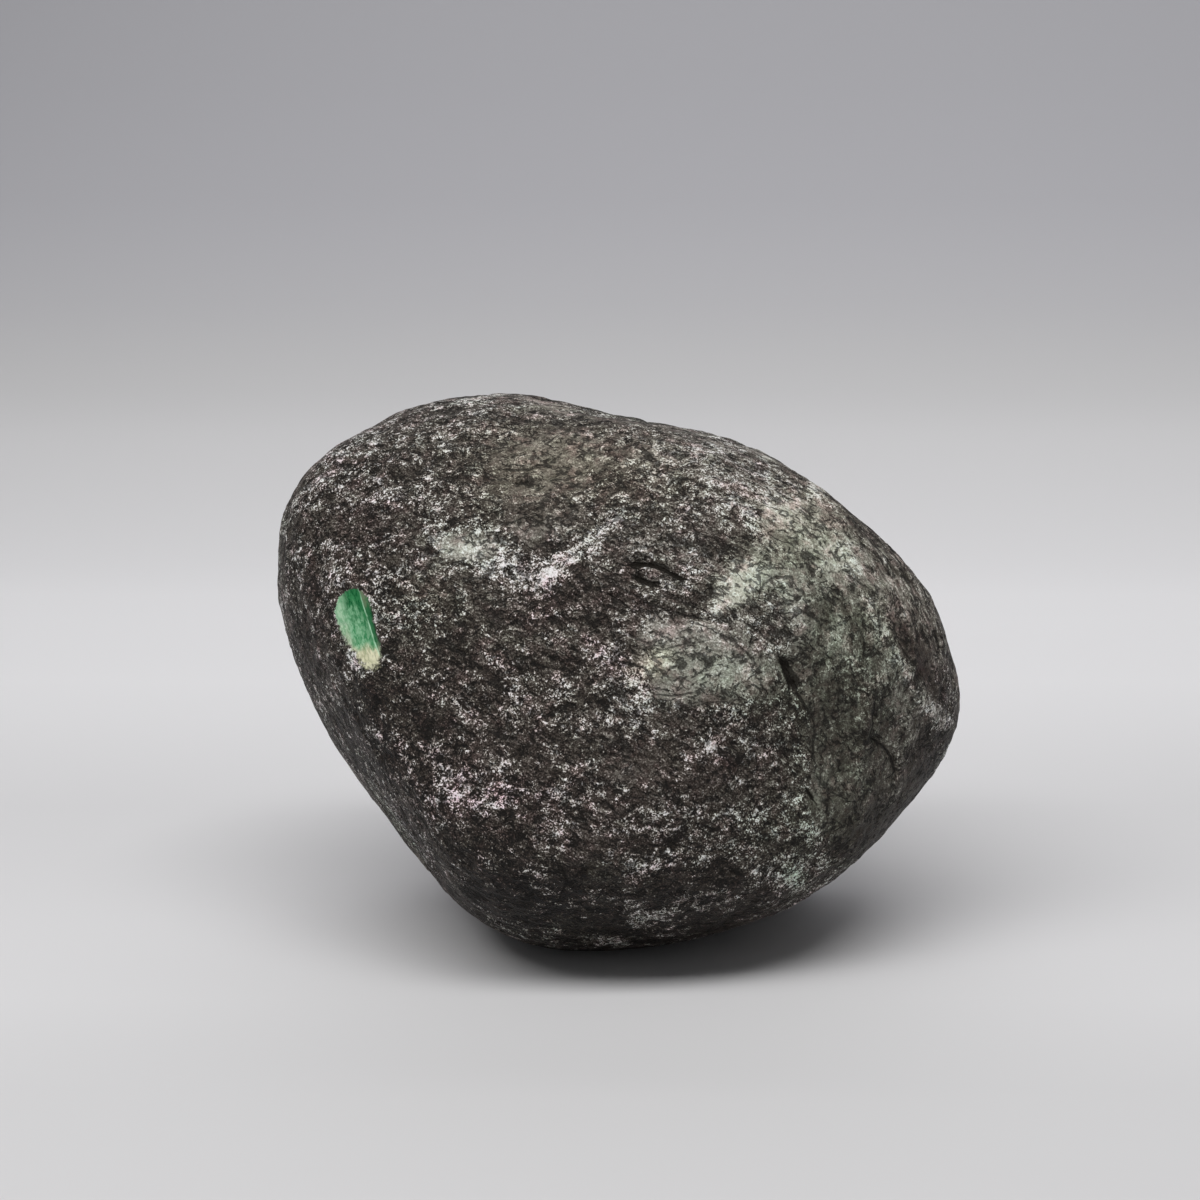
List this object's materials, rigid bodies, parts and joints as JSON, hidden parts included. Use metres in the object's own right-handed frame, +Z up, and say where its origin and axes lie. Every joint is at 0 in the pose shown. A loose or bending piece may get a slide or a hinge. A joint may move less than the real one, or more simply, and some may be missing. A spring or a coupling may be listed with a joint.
{
  "type": "rough jade boulder",
  "caption": "Rounded wedge-shaped river stone of rough jadeite with a dark speckled rind and a small ground window of green, resting on a worn flat.",
  "frame": {"origin": "on the resting surface, under the middle of the stone's bounding box", "axes": "+Z up; the broad front with the ground window faces -Y; the stone's long direction runs along X, with the pointed end at +X"},
  "size_m": [0.1256, 0.0952, 0.0993],
  "materials": {
    "rind": "dark waxy-matte weathered rind"
  },
  "bodies": {
    "root": {"boulder": "rind"}
  },
  "joints": []
}
